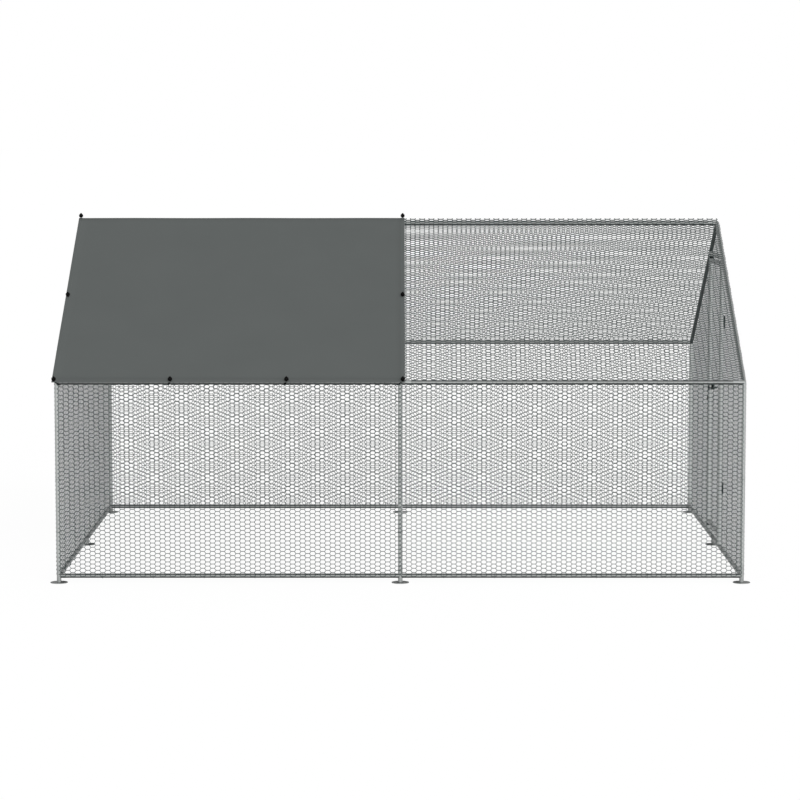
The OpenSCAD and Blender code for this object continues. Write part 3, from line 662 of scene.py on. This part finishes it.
ties = []
for y, out in ((FRONT, (0, -1, 0)), (BACK, (0, 1, 0))):
    for x in (LEFT, 0.0, RIGHT):
        ties += tie_row((x, y, BASE + END_ROOM), (x, y, EAVE - END_ROOM), 3, out)
    for x0, x1 in BAYS.values():
        ties += tie_row((x0 + END_ROOM, y, BASE), (x1 - END_ROOM, y, BASE), 6, out)
for x, out in ((LEFT, (-1, 0, 0)), (RIGHT, (1, 0, 0))):
    for y0, y1 in ((FRONT, -JAMB), (JAMB, BACK)):
        ties += tie_row((x, y0 + END_ROOM, BASE), (x, y1 - END_ROOM, BASE), 4, out)
tie = rounded_ring("tie", TUBE_R + 1.5 * TIE_D, TIE_D / 2)
tie_wire = copies("wire_ties", tie, ties, NET_WIRE)
give(tie_wire, "frame", "net_wire")

# %% [markdown]
# ## The cover
# The cover is one rectangle of cloth, hemmed on all four sides and pulled tight over the crest.
# A cloth simulation would suit a slack sheet; this one is stretched, so its shape is known and is
# written as a height over the roof: the cloth itself, a second layer where the hem is folded
# over, and a lift of a millimetre or two where an edge is free between two eyelets.

# %% Cover shape
cover_low, cover_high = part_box("cover")
X0, X1 = cover_low.x, cover_high.x
# Cloth, hem, second layer of the hem and the soft step at the hem's inner edge.
COVER_T, HEM, HEM_LAYER, HEM_STEP = 0.0012, 0.026, 0.0009, 0.0015
# Eyelets from the edge, cloth past the eave, and cloth above the tube's middle line.
EYELET_IN, DROP, LIFT = 0.012, 0.024, 0.0166
# Lift of a free edge, how far in it reaches from the ends and the sides, and the cloth's swell.
EDGE_LIFT, END_REACH, SIDE_REACH, SWELL = 0.0016, 0.10, 0.12, 0.0005
LOW_SIDE = np.array([FRONT - LIFT * UP_SIN, EAVE + LIFT * UP_COS])
TOP_SIDE = np.array([0.0, cover_high.z - 0.0016])
COVER_RUN = float(np.linalg.norm(TOP_SIDE - LOW_SIDE))
COVER_WAY = (TOP_SIDE - LOW_SIDE) / COVER_RUN
COVER_OUT = np.array([-COVER_WAY[1], COVER_WAY[0]])
EAVE_XS = np.linspace(X0 + EYELET_IN, X1 - EYELET_IN, 4)
MID_SLOPE = ROOF_RUN / 2
HALF = COVER_RUN + DROP
print("cloth", round(X1 - X0, 3), "x", round(2 * HALF, 3), "m")


def lift_between(value, stops):
    """0 at the stops and 1 half-way between two of them."""
    place = np.interp(value, stops, np.arange(len(stops)))
    return np.sin(np.pi * place) ** 2


def free_lift(x, w):
    """How far the cloth stands off at x and at w along its length from the front edge."""
    end = np.minimum(w, 2 * HALF - w)
    side = np.minimum(x - X0, X1 - x)
    seats = [DROP - EYELET_IN, DROP + MID_SLOPE, HALF]
    ends = EDGE_LIFT * lift_between(x, EAVE_XS) * np.exp(-((end / END_REACH) ** 2))
    sides = EDGE_LIFT * lift_between(end, seats) * np.exp(-((side / SIDE_REACH) ** 2))
    swell = SWELL * (1 + np.sin(9 * x + 2 * w)) * np.clip(end / 0.3, 0, 1)
    return ends + sides + swell


def hem_height(x, w):
    """The extra layer of the folded hem, with a soft step at its inner edge."""
    edge = np.minimum(np.minimum(x - X0, X1 - x), np.minimum(w, 2 * HALF - w))
    return HEM_LAYER * np.clip((HEM - edge) / HEM_STEP, 0, 1)


def cover_points(x, w, height):
    """Points of the cloth at x and w, a height above its underside."""
    front = w <= HALF
    run = np.where(front, w, 2 * HALF - w) - DROP
    y = LOW_SIDE[0] + run * COVER_WAY[0] + height * COVER_OUT[0]
    z = LOW_SIDE[1] + run * COVER_WAY[1] + height * COVER_OUT[1]
    y = np.minimum(y, 0.0)
    return np.stack([x, np.where(front, y, -y), z], axis=-1)


# %% Cover mesh
def with_hems(length, count):
    """Steps along one side of the cloth, close together at both hems."""
    near = [0.0, 0.004, 0.012, HEM - HEM_STEP, HEM]
    inner = np.linspace(HEM, length - HEM, count)[1:-1]
    return np.array(near + list(inner) + [length - v for v in near[::-1]])


xs = X0 + with_hems(X1 - X0, 61)
ws = with_hems(2 * HALF, 101)
xs, ws = np.meshgrid(xs, ws, indexing="ij")
under = free_lift(xs, ws)
layers = [
    cover_points(xs, ws, under + COVER_T + hem_height(xs, ws)),
    cover_points(xs, ws, under),
]
rows, columns = xs.shape
count = rows * columns
faces = []
for i in range(rows - 1):
    for j in range(columns - 1):
        a, b = i * columns + j, (i + 1) * columns + j
        faces.append((a, b, b + 1, a + 1))
        faces.append((count + a, count + a + 1, count + b + 1, count + b))
rim = [i * columns for i in range(rows)] + [(rows - 1) * columns + j for j in range(1, columns)]
rim += [i * columns + columns - 1 for i in range(rows - 2, -1, -1)]
rim += [j for j in range(columns - 2, 0, -1)]
for a, b in zip(rim, rim[1:] + rim[:1]):
    faces.append((b, a, count + a, count + b))
mesh = mesh_from("cover_cloth", np.concatenate([p.reshape(-1, 3) for p in layers]), faces)
mesh.shade_smooth()
flat = np.column_stack([xs.ravel(), ws.ravel()])
flat = np.concatenate([flat, flat])
corners = np.zeros(len(mesh.loops), int)
mesh.loops.foreach_get("vertex_index", corners)
mesh.uv_layers.new(name="cloth").data.foreach_set("uv", flat[corners].ravel())
mesh.materials.append(CLOTH)
cover = link_object("cover_cloth", mesh)
give(cover, "frame", "cover_cloth", "cover")

# %% [markdown]
# ## Hem stitching
# A sewing machine closes the hem with one row of stitches, 4 mm long, close to its inner edge.
# Each stitch is a short rounded thread, copied along the four sides.

# %% Stitches
STITCH, STITCH_STEP, THREAD_R = 0.004, 0.006, 0.00035


def stitch_shape():
    """A short thread along x, lying flat, with pointed ends."""
    points, faces = [(-STITCH / 2, 0, 0)], []
    for x in (-0.3 * STITCH, 0.3 * STITCH):
        for k in range(6):
            a = math.pi * k / 3
            points.append((x, THREAD_R * math.cos(a), THREAD_R * math.sin(a)))
    points.append((STITCH / 2, 0, 0))
    for k in range(6):
        n = (k + 1) % 6
        faces += [(0, 1 + n, 1 + k), (1 + k, 1 + n, 7 + n, 7 + k), (7 + k, 7 + n, 13)]
    mesh = mesh_from("stitch", points, faces)
    mesh.shade_smooth()
    return link_object("stitch", mesh)


def stitch_row(a, b):
    """Places of stitches from a to b, both (x, w) on the cloth."""
    a, b = np.array(a), np.array(b)
    steps = int(np.linalg.norm(b - a) / STITCH_STEP)
    xw = a + (b - a) * np.linspace(0, 1, steps + 1)[:, None]
    x, w = xw[:, 0], xw[:, 1]
    height = free_lift(x, w) + COVER_T + HEM_LAYER + 0.0002
    here = cover_points(x, w, height)
    ahead = cover_points(x + (b - a)[0] * 1e-4, w + (b - a)[1] * 1e-4, height)
    above = cover_points(x, w, height + 0.001)
    return [
        (p, (q - p) / np.linalg.norm(q - p), (o - p) / max(np.linalg.norm(o - p), 1e-9))
        for p, q, o in zip(here, ahead, above)
    ]


SEAM = HEM - 0.005
x0, x1, w0, w1 = X0 + SEAM, X1 - SEAM, SEAM, 2 * HALF - SEAM
turns = [(x0, w0), (x1, w0), (x1, w1), (x0, w1)]
stitches = []
for a, b in zip(turns, turns[1:] + turns[:1]):
    stitches += stitch_row(a, b)
thread = copies("cover_stitches", stitch_shape(), stitches, THREAD)
give(thread, "frame", "cover_cloth")

# %% [markdown]
# ## Elastic loops
# A ball bungee is a loop of elastic cord whose two ends are fixed in a ball. The loop goes down
# through the eyelet, round the tube and back up into the ball. The cord is stretched, so nothing
# sags and no simulation is needed: seen along the tube it is a circle with two straight tangents
# up to the eyelet.

# %% Loop paths
CORD_D = 0.0045
LOOP_R = TUBE_R + CORD_D / 2 + 0.0002
# How far the cord goes up into the ball and how far under the eyelet it starts to spread.
BALL_UP, EYELET_DOWN = 0.012, 0.004
# How far a loop sits along the rail from a fitting, and from its eyelet.
END_SHIFT, SLANT = 0.020, 0.015
# Half the distance between the two turns of a loop, round the tube and in the eyelet.
TURN_APART, EYELET_APART = 0.52 * CORD_D, 0.3 * CORD_D


def loop_path(centre, axis, eyelet, out, shift):
    """Two turns of a cord: from the ball down through the eyelet, round the tube, back up."""
    centre, axis, eyelet, out = (Vector(v) for v in (centre, axis, eyelet, out))
    below = eyelet - out * EYELET_DOWN
    reach = below - centre
    reach -= axis * reach.dot(axis)
    toward, distance = reach.normalized(), reach.length
    across = axis.cross(toward)
    wrap = math.acos(min(1.0, LOOP_R / distance))
    loops = []
    for aside in (-1, 1):
        step = axis * (aside * TURN_APART)
        near = axis * (aside * EYELET_APART)
        down = [eyelet + out * BALL_UP + near, eyelet + near, below + near]
        turns, run = 30, []
        for i in range(turns + 1):
            angle = wrap + (2 * math.pi - 2 * wrap) * i / turns
            ring = toward * math.cos(angle) + across * math.sin(angle)
            slide = shift * (0.5 + 0.5 * math.sin(math.pi * i / turns))
            run.append(centre + ring * LOOP_R + slide + step)
        loops.append(down + run + down[::-1])
    return loops


def on_cover(x, w):
    """One point of the cloth's top face and the direction out of it."""
    here, there = (
        Vector(cover_points(np.array(x), np.array(w), np.array(COVER_T + h))) for h in (0, 0.01)
    )
    return here, (there - here).normalized()


X_AXIS = Vector((1, 0, 0))
loops = []
for way, w_of in ((1, lambda w: w), (-1, lambda w: 2 * HALF - w)):
    tube_xs = [LEFT + END_SHIFT, EAVE_XS[1] - SLANT, EAVE_XS[2] - SLANT, -END_SHIFT]
    for x, tube_x in zip(EAVE_XS, tube_xs):
        seat, out = on_cover(x, w_of(DROP - EYELET_IN))
        centre = Vector((x, way * FRONT, EAVE))
        loops += loop_path(centre, X_AXIS, seat, out, X_AXIS * (tube_x - x))
    for x, tube_x in ((EAVE_XS[0], LEFT), (EAVE_XS[3], 0.0)):
        seat, out = on_cover(x, w_of(DROP + MID_SLOPE))
        rafter = Vector((0, way * UP_COS, UP_SIN))
        centre = Vector((tube_x, way * FRONT, EAVE)) + rafter * MID_SLOPE
        loops += loop_path(centre, rafter, seat, out, Vector())
for x, tube_x in ((EAVE_XS[0], LEFT + END_SHIFT), (EAVE_XS[3], -END_SHIFT)):
    seat = Vector((x, 0, cover_high.z))
    up = Vector((0, 0, 1))
    loops += loop_path(Vector((x, 0, RIDGE)), X_AXIS, seat, up, X_AXIS * (tube_x - x))
cords = wire("bungee_loops", loops, CORD_D, 8, CORD)
give(cords, "frame", "elastic_cord", "bungee_cords")

# %% [markdown]
# ## Finishes on the CAD parts
# The remaining solids are shown as CAD made them. The record names a material slot for every node,
# and each slot has its finish here. Level rails and feet take a darker copy of the zinc as painted
# shade.

# %% Paint the CAD nodes
SLOT_FINISH = {
    "galvanised_steel": GALVANISED,
    "zinc_screws": ZINC,
    "net_wire": NET_WIRE,
    "black_steel": BLACK_STEEL,
    "black_plastic": BLACK_PLASTIC,
    "cover_cloth": CLOTH,
    "elastic_cord": CORD,
}
# Level rails and feet get the darker copy of the zinc: painted shade.
LEVEL_NODES = ("eave_rail", "ridge_rail", "base_rail", "feet")
slot_of = {part["node"]: part["material_slot"] for part in frame["record"]["subparts"]}
for name, node in frame["nodes"].items():
    slot = slot_of[name]
    node.data.materials.clear()
    node.data.materials.append(
        GALVANISED_DARKER if name.endswith(LEVEL_NODES) else SLOT_FINISH[slot]
    )
print(len(frame["nodes"]), "CAD nodes painted")

# %% [markdown]
# ## Floor, light and camera
# The run stands on a pale floor in plain studio light: a wide soft sun from the front, the right
# and above, and an even world. The camera sees floor and background as white. That white is only
# for the eye, and for what metal mirrors: it adds no light to the run. The floor keeps a part of
# its own shading, so that the run still casts a shadow on it.

# %% Floor
def shown_rays(tree):
    """1 for the rays that show the background: camera, mirror and glass; 0 for the others."""
    rays = add(tree, "ShaderNodeLightPath").outputs
    seen = rays["Is Camera Ray"]
    for kind in ("Is Glossy Ray", "Is Transmission Ray"):
        seen = add(
            tree, "ShaderNodeMath", {0: seen, 1: rays[kind]}, operation="MAXIMUM"
        ).outputs[0]
    return seen


def floor_finish():
    """A white floor that shows most of its own white to the camera and keeps a soft shadow."""
    material = bpy.data.materials.new("white_floor")
    material.use_nodes = True
    tree = material.node_tree
    tree.nodes.remove(tree.nodes["Principled BSDF"])
    matt = add(tree, "ShaderNodeBsdfDiffuse", {"Color": colour("#F4F4F4")})
    white = add(tree, "ShaderNodeEmission", {"Color": colour("#FFFFFF"), "Strength": 1.06})
    share = add(
        tree, "ShaderNodeMath", {0: shown_rays(tree), 1: WHITE_SHARE}, operation="MULTIPLY"
    )
    mix = add(
        tree,
        "ShaderNodeMixShader",
        {0: share.outputs[0], 1: matt.outputs[0], 2: white.outputs[0]},
    )
    tree.links.new(mix.outputs[0], tree.nodes["Material Output"].inputs["Surface"])
    return material


HALF_FLOOR, FLOOR_Z, WHITE_SHARE = 200.0, -0.0005, 0.88
turns = [(-1, -1), (1, -1), (1, 1), (-1, 1)]
points = [(x * HALF_FLOOR, y * HALF_FLOOR, FLOOR_Z) for x, y in turns]
floor_mesh = mesh_from("floor", points, [(0, 1, 2, 3)])
floor_mesh.materials.append(floor_finish())
floor = link_object("floor", floor_mesh)
print("floor", 2 * HALF_FLOOR, "m")

# %% Light
world = bpy.data.worlds.new("studio")
bpy.context.scene.world = world
world.use_nodes = True
tree = world.node_tree
level = add(
    tree, "ShaderNodeMapRange", {"Value": shown_rays(tree), "To Min": 0.38, "To Max": 1.0}
)
tree.links.new(level.outputs["Result"], tree.nodes["Background"].inputs["Strength"])
tree.nodes["Background"].inputs["Color"].default_value = colour("#FFFFFF")

sun = bpy.data.lights.new("key", "SUN")
sun.energy, sun.angle = 2.3, math.radians(50)
key = bpy.data.objects.new("key", sun)
key.rotation_euler = Vector((-2.5, 8.5, -3.2)).to_track_quat("-Z", "Y").to_euler()
bpy.context.scene.collection.objects.link(key)
print("world and one lamp")

# %% Camera
lens = bpy.data.cameras.new("camera")
lens.sensor_width = 36.0
lens.lens = 125.9
lens.shift_x = -0.000375
lens.clip_end = 600.0
camera = bpy.data.objects.new("camera", lens)
camera.location = (0.0, -16.8023, 2.5723)
camera.rotation_euler = (math.pi / 2 - 0.10032, 0.0, 0.0)
bpy.context.scene.collection.objects.link(camera)
bpy.context.scene.camera = camera
bpy.context.scene.view_settings.view_transform = "Standard"
print("camera", round(lens.lens, 1), "mm at", [round(v, 2) for v in camera.location])
